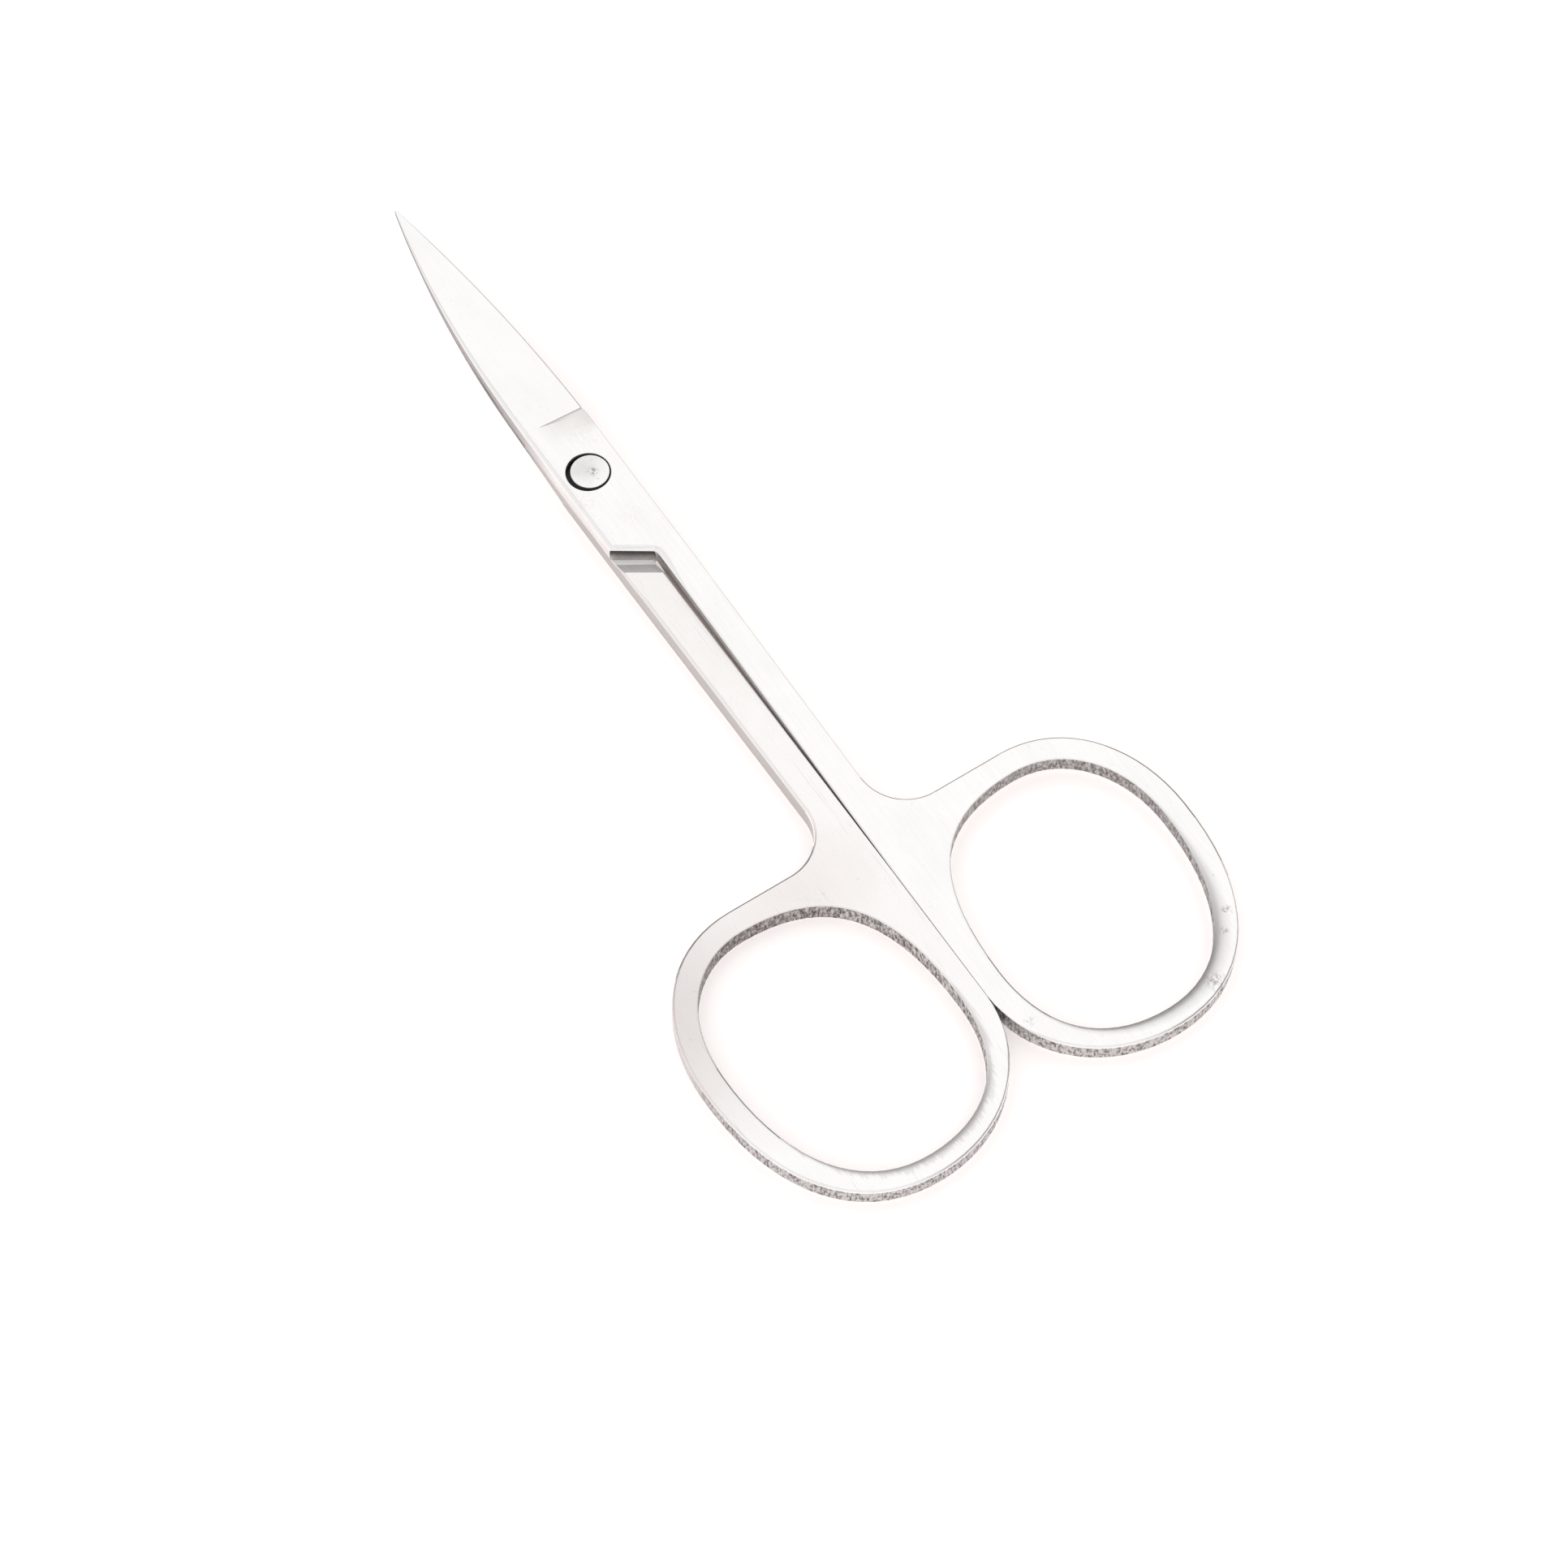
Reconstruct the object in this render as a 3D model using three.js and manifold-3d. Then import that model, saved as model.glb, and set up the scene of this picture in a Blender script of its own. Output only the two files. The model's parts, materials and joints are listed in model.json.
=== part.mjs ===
// Eyebrow scissors, closed and lying on a table: two stamped steel halves that turn on one flush rivet.
// Millimetres, +Z up. The origin is on the pivot axis at the table, +Y points to the tips, +X to the right.
import * as THREE from "three";
import { mergeVertices } from "three/addons/utils/BufferGeometryUtils.js";
import Module from "manifold-3d";

const wasm = await Module();
wasm.setup();

// Steel strip
const SHEET = 1.8; // thickness of the shanks and the finger rings
const LAP = 1.4; // thickness of each half where the two lie on each other
const LAP_GAP = 0.05; // running gap between the two ground lap faces

// Lap and blades
const LAP_LEFT = 2.5; // pivot axis to the left side of the closed lap
const LAP_RIGHT = 2.68; // pivot axis to the right side of the closed lap
const BLADE_LENGTH = 30.3; // pivot axis to the tips
const TIP_X = 0.6; // the tips lie this far to the right of the pivot axis
const TIP_WIDTH = 0.14; // blunt end of each tip
const TIP_LAND = 0.25; // thickness left at the tip
const BEVEL_START = 5.5; // pivot axis to the line where the bevel starts and the blade begins to narrow
const RIDGE_INSET = 1.3; // spine to the start of the ridge between outer face and bevel
const EDGE_LAND = 1.14; // thickness left at the cutting edge beside the bevel's start
const PLUNGE_ANGLE = THREE.MathUtils.degToRad(15); // slope that runs from the outer face down to the bevel

// Heels, and the ramps that face them
const HEEL_BACK = 6.84; // pivot axis back to the heel's outer corner
const HEEL_SLANT = THREE.MathUtils.degToRad(33); // slant of the heel across the half
const HEEL_FILLET = 0.6; // radius where the heel runs into the shank
const RAMP_CLEARANCE = 0.4; // heel to the foot of the other half's ramp
const RAMP_ANGLE = THREE.MathUtils.degToRad(23); // slope from the lap face up to the full thickness

// Shanks
const PARTING_X = 0.33; // line between the closed rings, to the right of the pivot axis
const UPPER_SHANK = 2.32; // parting line to the outer side of the upper half's shank, at its ring
const LOWER_SHANK = 2.53; // parting line to the outer side of the lower half's shank, at its ring
const SHANK_GAP = 0.2; // between the closed shanks at the heels
const RING_GAP = 0.08; // between the closed rings
const BEND_FRONT = 10; // pivot axis back to where the upper shank begins to come down
const BEND_BACK = 41; // pivot axis back to where it lies level on the table again

// Finger rings
const HOLE_BACK = 38.6; // pivot axis back to the front of the finger hole
const HOLE_WIDTH = 17.25;
const HOLE_LENGTH = 21.35;
const UPPER_BAND = 1.82; // parting line to the upper half's finger hole
const LOWER_BAND = 1.6; // parting line to the lower half's finger hole
const BAND_OUTER = 1.78; // ring width at its outer side
const BAND_FRONT = 1.87; // ring width at its front
const BAND_REAR = 1.6; // ring width at its rear
const WEB_FILLET = 3.8; // radius between the shank and the ring's front edge

// Form of the rings: where the oval is widest, as shares of the hole, and how full each quarter is
const FRONT_AT = 0.58; // frontmost point, across the hole from its inner side
const REAR_AT = 0.485; // rearmost point, across the hole from its inner side
const OUTER_AT = 0.41; // outermost point, along the hole from its front
const INNER_AT = 0.59; // innermost point, along the hole from its front
const RING_LEAVES_AT = 0.64; // where the ring's inner edge leaves the parting line, along the hole
const FULL_FRONT_OUTER = 0.59;
const FULL_FRONT_INNER = 0.69;
const FULL_REAR_INNER = 0.63;
const FULL_REAR_OUTER = 0.62;
const FULL_RING_CORNER = 0.57; // the ring's own edge, from the parting line round to the rear

// Rivet
const RIVET_SHANK = 2.0; // diameter
const RIVET_HEAD = 2.9; // diameter
const HEAD_HEIGHT = 0.7;
const HEAD_CHAMFER = 0.12;
const HEAD_BELOW = 0.04; // the head lies this far below the upper half's face
const HEAD_GAP = 0.28; // radial gap round the head, in its counterbore
const WELL_OFFSET = 0.11; // the counterbore is cut this far to the left of the pivot axis
const HEAD_SEAT_GAP = 0.04; // under the head
const RUNNING_GAP = 0.05; // radial, in the upper half's hole
const TAIL_DIAMETER = 2.9; // spread tail, flush with the lower half's outer face
const TAIL_HEIGHT = 0.5;
const TAIL_GAP = 0.02; // between the rivet and the lower half that it is spread into

// Fineness
const CURVE_STEPS = 18; // chords in each quarter of a ring, and in each side of a blade
const FILLET_STEPS = 8;
const ROUND_STEPS = 48;
const FAR = 120; // reach of a cutting block, past every side of the part

const STACK = 2 * LAP + LAP_GAP; // height of the two laps together

// A closed three.js geometry as a solid that can be joined and cut.
function solid(geometry) {
  const bare = new THREE.BufferGeometry();
  bare.setAttribute("position", geometry.getAttribute("position"));
  bare.setIndex(geometry.getIndex());
  const merged = mergeVertices(bare, 1e-5);
  const position = merged.getAttribute("position");
  return new wasm.Manifold(
    new wasm.Mesh({
      numProp: 3,
      vertProperties: new Float32Array(position.array),
      triVerts: new Uint32Array(merged.getIndex().array),
    }),
  );
}

function geometryOf(made) {
  const { numProp, vertProperties, triVerts } = made.getMesh();
  const positions = [];
  for (let i = 0; i < vertProperties.length; i += numProp) {
    positions.push(vertProperties[i], vertProperties[i + 1], vertProperties[i + 2]);
  }
  const geometry = new THREE.BufferGeometry();
  geometry.setAttribute("position", new THREE.Float32BufferAttribute(positions, 3));
  geometry.setIndex(Array.from(triVerts));
  const faceted = geometry.toNonIndexed();
  faceted.computeVertexNormals();
  return faceted;
}

// A prism whose section has its x along one direction and its y along another, and which reaches
// the same distance to both sides of the section.
function prism(points, along, up, place, reach) {
  const across = new THREE.Vector3().crossVectors(along, up);
  const frame = new THREE.Matrix4().makeBasis(along, up, across).setPosition(place);
  const section = new THREE.Shape(points);
  const block = new THREE.ExtrudeGeometry(section, { depth: 2 * reach, bevelEnabled: false });
  return solid(block.translate(0, 0, -reach).applyMatrix4(frame));
}

function turned(profile) {
  return solid(new THREE.LatheGeometry(profile, ROUND_STEPS).rotateX(Math.PI / 2));
}

// An upright block of an outline, from far below the part to far above it.
function upright(outline) {
  const block = new THREE.ExtrudeGeometry(outline, { depth: 2 * FAR, bevelEnabled: false });
  return solid(block.translate(0, 0, -FAR));
}

const point = (x, y) => new THREE.Vector2(x, y);

// A quarter of an oval to the given end; the path leaves and arrives along the sides of its box.
function quarter(path, end, leavesAlongY, fullness) {
  const start = path.currentPoint.clone();
  const corner = leavesAlongY ? point(start.x, end.y) : point(end.x, start.y);
  const first = start.clone().lerp(corner, fullness);
  const second = end.clone().lerp(corner, fullness);
  path.bezierCurveTo(first.x, first.y, second.x, second.y, end.x, end.y);
}

// A side of a blade: an arc that leaves the lap straight ahead and bends in to the tip.
function bladeSide(from, to) {
  const ahead = to.y - from.y;
  const inward = to.x - from.x;
  const radius = (ahead * ahead + inward * inward) / (2 * inward);
  const sweep = Math.asin(ahead / radius);
  const points = [];
  for (let i = 0; i <= CURVE_STEPS; i += 1) {
    const angle = (sweep * i) / CURVE_STEPS;
    points.push(point(from.x + radius * (1 - Math.cos(angle)), from.y + radius * Math.sin(angle)));
  }
  return points;
}

// The four outermost points of a finger hole's oval, set out by the ring's widths for the ring's own edge.
function oval({ parting, band }, outer, front, rear) {
  const left = parting + band;
  const right = left + HOLE_WIDTH;
  return {
    front: point(left + FRONT_AT * HOLE_WIDTH, -HOLE_BACK + front),
    rear: point(left + REAR_AT * HOLE_WIDTH, -HOLE_BACK - HOLE_LENGTH - rear),
    outer: point(right + outer, -HOLE_BACK - OUTER_AT * HOLE_LENGTH),
    inner: point(left, -HOLE_BACK - INNER_AT * HOLE_LENGTH),
  };
}

function holeOutline(shape) {
  const { front, rear, outer, inner } = oval(shape, 0, 0, 0);
  const path = new THREE.Path().moveTo(outer.x, outer.y);
  quarter(path, front, true, FULL_FRONT_OUTER);
  quarter(path, inner, false, FULL_FRONT_INNER);
  quarter(path, rear, true, FULL_REAR_INNER);
  quarter(path, outer, false, FULL_REAR_OUTER);
  return new THREE.Shape(path.getPoints(CURVE_STEPS).slice(0, -1));
}

// The blank of a half seen from its outer face, with its ring to the right, from the heel round to the tip.
function blankOutline(shape) {
  const { parting, edgeSide, spineSide, tipX, shank } = shape;
  const innerAtHeel = parting + SHANK_GAP / 2;
  const innerAtRing = parting + RING_GAP / 2;
  const heelRoot = -HEEL_BACK - (innerAtHeel + spineSide) * Math.tan(HEEL_SLANT);
  const tangent = HEEL_FILLET * Math.tan(Math.PI / 4 - HEEL_SLANT / 2);
  const ring = oval(shape, BAND_OUTER, BAND_FRONT, BAND_REAR);
  const shankOuter = parting + shank;

  const path = new THREE.Path().moveTo(-spineSide, -HEEL_BACK);
  path.lineTo(innerAtHeel - tangent * Math.cos(HEEL_SLANT), heelRoot + tangent * Math.sin(HEEL_SLANT));
  path.quadraticCurveTo(innerAtHeel, heelRoot, innerAtHeel, heelRoot - tangent);
  const heel = path.getPoints(FILLET_STEPS);

  const round = new THREE.Path().moveTo(innerAtRing, -BEND_BACK);
  round.lineTo(innerAtRing, -HOLE_BACK - RING_LEAVES_AT * HOLE_LENGTH);
  quarter(round, ring.rear, true, FULL_RING_CORNER);
  quarter(round, ring.outer, false, FULL_REAR_OUTER);
  quarter(round, ring.front, true, FULL_FRONT_OUTER);
  const finger = round.getPoints(CURVE_STEPS);

  const web = new THREE.Path();
  const webX = shankOuter + WEB_FILLET;
  const webY = ring.front.y + WEB_FILLET;
  web.absarc(webX, webY, WEB_FILLET, -Math.PI / 2, -Math.PI, true);
  const fillet = web.getPoints(FILLET_STEPS);

  const half = TIP_WIDTH / 2;
  const edge = bladeSide(point(edgeSide, BEVEL_START), point(tipX + half, BLADE_LENGTH));
  const spine = bladeSide(point(-spineSide, BEVEL_START), point(tipX - half, BLADE_LENGTH)).reverse();
  return new THREE.Shape([...heel, ...finger, ...fillet, point(edgeSide, 0), ...edge, ...spine]);
}

// The strip seen from its side: the outer face is level over the lap, and the ring lies lower by the drop.
function strip(drop) {
  const bottom = LAP - SHEET;
  const section = [
    point(FAR, LAP),
    point(-BEND_FRONT, LAP),
    point(-BEND_BACK, LAP - drop),
    point(-FAR, LAP - drop),
    point(-FAR, bottom - drop),
    point(-BEND_BACK, bottom - drop),
    point(-BEND_FRONT, bottom),
    point(FAR, bottom),
  ];
  return prism(section, new THREE.Vector3(0, 1, 0), new THREE.Vector3(0, 0, 1), new THREE.Vector3(), FAR);
}

// What is ground off the inner face so that the other half can lie there, up to the ramp behind its heel.
function lapGrind(edgeSide) {
  const backwards = new THREE.Vector3(Math.sin(HEEL_SLANT), -Math.cos(HEEL_SLANT), 0);
  const section = [
    point(-FAR, 0),
    point(-FAR, -SHEET),
    point(RAMP_CLEARANCE + SHEET / Math.tan(RAMP_ANGLE), -SHEET),
    point(RAMP_CLEARANCE, 0),
  ];
  const otherHeel = new THREE.Vector3(edgeSide, -HEEL_BACK, 0);
  return prism(section, backwards, new THREE.Vector3(0, 0, 1), otherHeel, FAR);
}

// What is ground off the outer face to make the cutting edge: a flat that falls to the edge and to the tip.
function bevelGrind({ edgeSide, spineSide, tipX }) {
  const ridge = new THREE.Vector3(RIDGE_INSET - spineSide, BEVEL_START, LAP);
  const edge = new THREE.Vector3(edgeSide, BEVEL_START, EDGE_LAND);
  const tip = new THREE.Vector3(tipX, BLADE_LENGTH, TIP_LAND);
  const across = edge.sub(ridge).normalize();
  const up = across.clone().cross(tip.sub(ridge)).normalize();
  const ahead = up.clone().cross(across);
  const height = 2 * LAP;
  const section = [
    point(0, 0),
    point(FAR, 0),
    point(FAR, height),
    point(-height / Math.tan(PLUNGE_ANGLE), height),
  ];
  return prism(section, ahead, up, ridge, FAR);
}

// The counterbore for the rivet's head, and the hole that turns on its shank.
function headBore() {
  const hole = RIVET_SHANK / 2 + RUNNING_GAP;
  const well = RIVET_HEAD / 2 + HEAD_GAP;
  const floor = LAP - HEAD_BELOW - HEAD_HEIGHT - HEAD_SEAT_GAP;
  const seat = turned([point(0, floor), point(well, floor), point(well, 2 * LAP), point(0, 2 * LAP)]);
  const through = turned([point(0, -LAP), point(hole, -LAP), point(hole, 2 * LAP), point(0, 2 * LAP)]);
  return through.add(seat.translate([-WELL_OFFSET, 0, 0]));
}

// The countersunk hole that the rivet's tail is spread into.
function tailBore() {
  const hole = RIVET_SHANK / 2 + TAIL_GAP;
  const mouth = TAIL_DIAMETER / 2 + TAIL_GAP;
  return turned([point(0, -LAP), point(hole, -LAP), point(hole, LAP - TAIL_HEIGHT - TAIL_GAP),
    point(mouth, LAP - TAIL_GAP), point(mouth, 2 * LAP), point(0, 2 * LAP)]);
}

// A half in its own frame: the lap face is at z = 0, the outer face is up and the ring lies to the right.
function half(shape, drop, bore) {
  return upright(blankOutline(shape))
    .intersect(strip(drop))
    .subtract(upright(holeOutline(shape)))
    .subtract(lapGrind(shape.edgeSide))
    .subtract(bevelGrind(shape))
    .subtract(bore);
}

function rivet() {
  const shank = RIVET_SHANK / 2;
  const head = RIVET_HEAD / 2;
  const top = STACK - HEAD_BELOW;
  return turned([
    point(0, 0),
    point(TAIL_DIAMETER / 2, 0),
    point(shank, TAIL_HEIGHT),
    point(shank, top - HEAD_HEIGHT),
    point(head, top - HEAD_HEIGHT),
    point(head, top - HEAD_CHAMFER),
    point(head - HEAD_CHAMFER, top),
    point(0, top),
  ]);
}

function piece(name, made, material) {
  const mesh = new THREE.Mesh(geometryOf(made), material);
  mesh.name = name;
  return mesh;
}

const satinSteel = new THREE.MeshStandardMaterial({ color: 0xdcdcda, roughness: 0.32, metalness: 1 });
const rivetSteel = new THREE.MeshStandardMaterial({ color: 0xb4b4b4, roughness: 0.38, metalness: 1 });

const upperShape = {
  parting: PARTING_X,
  band: UPPER_BAND,
  edgeSide: LAP_RIGHT,
  spineSide: LAP_LEFT,
  tipX: TIP_X,
  shank: UPPER_SHANK,
};
const lowerShape = {
  parting: -PARTING_X,
  band: LOWER_BAND,
  edgeSide: LAP_LEFT,
  spineSide: LAP_RIGHT,
  tipX: -TIP_X,
  shank: LOWER_SHANK,
};

const upperHalf = piece("upper_half", half(upperShape, STACK - SHEET, headBore()), satinSteel);
upperHalf.position.z = LAP + LAP_GAP;

// The lower half is the same kind of stamping turned over, and it stays flat.
const lowerHalf = piece("lower_half", half(lowerShape, 0, tailBore()), satinSteel);
lowerHalf.rotation.y = Math.PI;
lowerHalf.position.z = LAP;

const pivotRivet = piece("pivot_rivet", rivet(), rivetSteel);

const scissors = new THREE.Group();
scissors.name = "eyebrow_scissors";
scissors.add(lowerHalf, upperHalf, pivotRivet);

export default scissors;
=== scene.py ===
import json
import math

import bpy
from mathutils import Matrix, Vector


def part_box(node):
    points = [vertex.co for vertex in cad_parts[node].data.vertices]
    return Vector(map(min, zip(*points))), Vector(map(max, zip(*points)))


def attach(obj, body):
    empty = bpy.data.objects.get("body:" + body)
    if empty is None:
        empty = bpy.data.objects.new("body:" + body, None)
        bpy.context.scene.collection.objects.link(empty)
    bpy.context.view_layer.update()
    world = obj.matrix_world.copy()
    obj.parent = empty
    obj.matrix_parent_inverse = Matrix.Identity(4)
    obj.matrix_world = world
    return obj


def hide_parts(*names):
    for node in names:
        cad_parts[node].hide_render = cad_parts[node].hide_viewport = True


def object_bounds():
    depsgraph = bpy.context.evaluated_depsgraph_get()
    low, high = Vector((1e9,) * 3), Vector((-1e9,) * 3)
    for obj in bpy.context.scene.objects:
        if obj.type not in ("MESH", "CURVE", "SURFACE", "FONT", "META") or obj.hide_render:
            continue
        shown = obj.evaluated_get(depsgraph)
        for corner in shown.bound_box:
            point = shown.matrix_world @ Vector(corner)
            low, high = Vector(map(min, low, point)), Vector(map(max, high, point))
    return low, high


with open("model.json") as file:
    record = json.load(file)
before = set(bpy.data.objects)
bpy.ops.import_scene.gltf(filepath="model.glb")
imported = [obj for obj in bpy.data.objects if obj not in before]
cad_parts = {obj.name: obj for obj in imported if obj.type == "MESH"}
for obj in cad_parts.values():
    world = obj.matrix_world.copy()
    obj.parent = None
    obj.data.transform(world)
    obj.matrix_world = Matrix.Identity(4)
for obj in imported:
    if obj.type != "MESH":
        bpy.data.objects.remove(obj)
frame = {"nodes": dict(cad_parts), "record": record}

cad_low, cad_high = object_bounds()

MM = 0.001

# Places on the scissors, in millimetres from the pivot axis: +Y to the tips, +X to the upper half's ring
LAP_TOP = frame["record"]["size"]["bbox_m"][2] / MM
RING_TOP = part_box("lower_half")[1].z / MM
RING_MIDDLE_Z = RING_TOP / 2
TIP_Y = frame["record"]["size"]["bbox_m"][1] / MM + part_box("upper_half")[0].y / MM
LAP_FACE = 1.42
LAP_FACE_REACH = 0.1
BEVEL_START = 5.5
PLUNGE_FRONT = 6.0
PLUNGE_REAR = 4.0
WELL_RADIUS = 1.9
WELL_RIM_ABOVE = LAP_FACE + 1
WELL_RIM_DEPTH = 0.1
HEEL_FRONT = -6.5
HEEL_REAR = -9.1
HEEL_LEFT = -2.45
STRIP_FRONT = -6.3
STRIP_REAR = -7.0
RAMP_REAR = -12.5
SHANK_REAR = -31.0
FLANK_FRONT = -33.4
RING_FRONT = -38.0
RING_MIDDLE_X = {"upper_half": 10.8, "lower_half": -9.9}
RING_MIDDLE_Y = -49.3
PARTING_X = 0.33
PARTING_REACH = 0.8
RING_GAP = 0.08
PARTING_CLOSE = 0.03
BEND_FRONT = -10.0
BEND_BACK = -41.0
BEND_SLOPE = (LAP_TOP - RING_TOP) / (BEND_FRONT - BEND_BACK)
TEAR_FRONT = -42.0
TEAR_LENGTH = 9.0

# Rounding of the edges, in millimetres, and where along the length it starts, grows and is cut for that
HOLE_ROUND = 0.3
HOLE_CUT = 0.8
HOLE_WORN = {"upper_half": 1.0, "lower_half": 0.72}
HOLE_WORN_TO = {"upper_half": Vector((0.42, -0.91, 0)), "lower_half": Vector((0.2, -0.98, 0))}
HOLE_SHARP = 0.1
HOLE_SHARP_TO = Vector((0.3, 0.954, 0))
CROWN_RADIUS = 2.0
CROWN_MARGIN = 0.06
RING_ROUND = 0.24
UNDER_ROUND = {"upper_half": 0.42, "lower_half": 0.1}
PARTING_ROUND = 0.02
PARTING_SPREAD = 1.5
SPINE_ROUND = 0.55
SPINE_FULL = 9.0
SPINE_SIDE = {"upper_half": -1, "lower_half": 1}
SHANK_ROUND = 0.12
INNER_ROUND = 0.04
SHANK_SIDE_ROUND = 0.35
SHANK_SIDE_FROM = -9.5
SHANK_SIDE_FULL = -12.0
SHANK_SIDE_CUTS = (-10.4, -11.2, -12.0)
HEEL_ROUND = 0.62
HEEL_CUTS = (-9.4, -10.8, -11.6, -12.4, -13.2)
UNDERCUT_REAR = -1.0
UNDERCUT_SHARE = 0.9
UNDERCUT_CUTS = (-0.5, 0.2, 1.4, 2.6, 3.8)
RIM_ROUND = 0.05
CUTTING_ROUND = 0.1
TIP_ROUND = 0.03
TIP_FROM = 24.0
LAP_ROUND = 0.06
ROUND_STEPS = 6

# How faces are told apart: TILT is the upward part of a face's normal, FACING its part in another direction
UPRIGHT_TILT = 0.1
WALL_TILT = 0.35
SLOPE_TILT = 0.5
FACE_TILT = 0.9
PLUNGE_TILTS = (0.9, 0.97)
RAMP_TILTS = (0.8, 0.95)
EDGE_TILTS = (0.35, 0.93)
INNER_EDGE_TILTS = (0.1, 0.6)
SIDE_EDGE_TILT = 0.48
SIDE_FACING = 0.3
HEEL_FACING = 0.5
RAMP_FACING = 0.2
FAR_SIDE = Vector((0.55, 0.835, 0))
FAR_FACING = 0.2
WORN_FACING = 0.3
EDGE_ANGLE = math.radians(40)
SMOOTH_ANGLE = math.radians(35)
FLAT_ANGLE = math.radians(0.2)
FLAT_AREA = 0.3
MERGE_WITHIN = 0.002

# The rivet's head: its rim is spread, and each step inwards rises less than the one before
HEAD_GROWTH = 1.05
HEAD_SHIFT = 0.03
HEAD_SPREAD = 1.06
HEAD_INSIDE = 1.2
HEAD_SINK = 0.03
HEAD_FACE_REACH = 0.01
DOME_STEP = 0.24
DOME_RISES = (0.026, 0.018, 0.011, 0.006, 0.002)

# Grain of the finishes: noise scales per metre along X, Y and Z, and depths in millimetres
FINE_LINES = (9000, 260, 2000)
COARSE_LINES = (2600, 60, 2000)
BLOTCHES = (260, 180, 260)
SPECKS = (2400, 2000, 2400)
TEAR_STRIPES = (5000, 5000, 1800)
TEAR_PITS = (2600, 2600, 2200)
SCUFF_GRAIN = (5000, 2600, 5000)
RIVET_MOTTLE = (1500, 1500, 1500)
LINE_DEPTH = 0.002
TEAR_DEPTH = 0.02
MOTTLE_DEPTH = 0.01
LAP_METAL = 0.4

# Camera, in millimetres
CAMERA_AT = Vector((-72.79, -137.63, 232.98))
CAMERA_TO = Vector((-2.252, -30.251, 1.8))
CAMERA_LENS = 83.83
CAMERA_SENSOR = 36

# The bright parts of the studio: a wide softbox overhead and pale cards behind the camera and at the left
SOFTBOX_DIRECTION = (0.3, 0.25, 0.92)
SOFTBOX_LEVELS = ((0, 0.3), (0.5, 0.34), (0.7, 0.48), (0.8, 0.83), (0.85, 1.015), (1.0, 1.045))
CARD_DIRECTION = (-0.45, -0.7, 0.55)
CARD_LEVELS = ((0.6, 0), (0.72, 0.6), (0.82, 0.9), (1, 0.95))
SIDE_CARD_DIRECTION = (-0.85, 0.3, 0.43)
SIDE_CARD_LEVELS = ((0.5, 0), (0.7, 0.6), (0.8, 0.87), (1, 0.92))

# The lamp that gives the soft shadow and the table, in millimetres and watts
LAMP_AT = Vector((500, 190, 310))
LAMP_SIZE = 500
LAMP_POWER = 0.3
TABLE_SIZE = 6000
TABLE_BELOW = 0.01
TABLE_COLOUR = (0.88, 0.85, 0.84, 1)
TABLE_GLOW = (1, 0.93, 0.92, 1)
TABLE_GLOW_STRENGTH = 0.42


def only(piece):
    """Selects one piece and makes it the active one."""
    bpy.ops.object.select_all(action="DESELECT")
    piece.select_set(True)
    bpy.context.view_layer.objects.active = piece


def ready_to_select(kind):
    """Deselects all of the active piece's mesh, so that vertices, edges or faces can be selected in code."""
    bpy.ops.object.mode_set(mode="EDIT")
    bpy.ops.mesh.select_mode(type=kind)
    bpy.ops.mesh.select_all(action="DESELECT")
    bpy.ops.object.mode_set(mode="OBJECT")


def copy_of(node, name):
    """A new piece that starts as a merged copy of a CAD node, with its flat faces made whole."""
    mesh = frame["nodes"][node].data.copy()
    piece = bpy.data.objects.new(name, mesh)
    bpy.context.scene.collection.objects.link(piece)
    only(piece)
    mesh.materials.clear()
    bpy.ops.mesh.customdata_custom_splitnormals_clear()
    bpy.ops.object.mode_set(mode="EDIT")
    bpy.ops.mesh.select_all(action="SELECT")
    bpy.ops.mesh.remove_doubles(threshold=MERGE_WITHIN * MM)
    bpy.ops.mesh.dissolve_limited(angle_limit=FLAT_ANGLE)
    bpy.ops.object.mode_set(mode="OBJECT")
    return piece


def cut_across(piece, places):
    """Cuts a piece's faces straight across at places along its length, in millimetres."""
    only(piece)
    for place in places:
        bpy.ops.object.mode_set(mode="EDIT")
        bpy.ops.mesh.select_all(action="SELECT")
        bpy.ops.mesh.bisect(plane_co=(0, place * MM, 0), plane_no=(0, 1, 0))
        bpy.ops.object.mode_set(mode="OBJECT")


def plunge_slope(face):
    """Whether a face is the small slope between the lap and the ground side of a blade."""
    low, high = PLUNGE_TILTS
    return PLUNGE_REAR < face.center.y / MM < PLUNGE_FRONT and low < abs(face.normal.z) < high


def split_plunge(piece):
    """Halves the outer edge of the slope where the blade's grind starts, so that it can be shaded hollow."""
    only(piece)
    ready_to_select("EDGE")
    for edge, faces in zip(piece.data.edges, edge_faces(piece.data)):
        slope = any(plunge_slope(face) for face in faces)
        edge.select = slope and any(abs(face.normal.z) < UPRIGHT_TILT for face in faces)
    bpy.ops.object.mode_set(mode="EDIT")
    bpy.ops.mesh.subdivide(number_cuts=1)
    bpy.ops.object.mode_set(mode="OBJECT")


def edge_faces(mesh):
    """The faces at each edge of a mesh, by the edge's index."""
    faces = [[] for _ in mesh.edges]
    index_of = {edge.key: edge.index for edge in mesh.edges}
    for face in mesh.polygons:
        for key in face.edge_keys:
            faces[index_of[key]].append(face)
    return faces


def part_way(value, start, end):
    """How far a value has come from a start to an end, from 0 to 1."""
    return max(0, min(1, (value - start) / (end - start)))


def blend(start, end, share):
    """A value between two others."""
    return start + share * (end - start)


def from_ring(node, place):
    """The way from the middle of a half's ring to a place, flat and of unit length."""
    way = place - Vector((RING_MIDDLE_X[node], RING_MIDDLE_Y, 0))
    way.z = 0
    return way.normalized()


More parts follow.
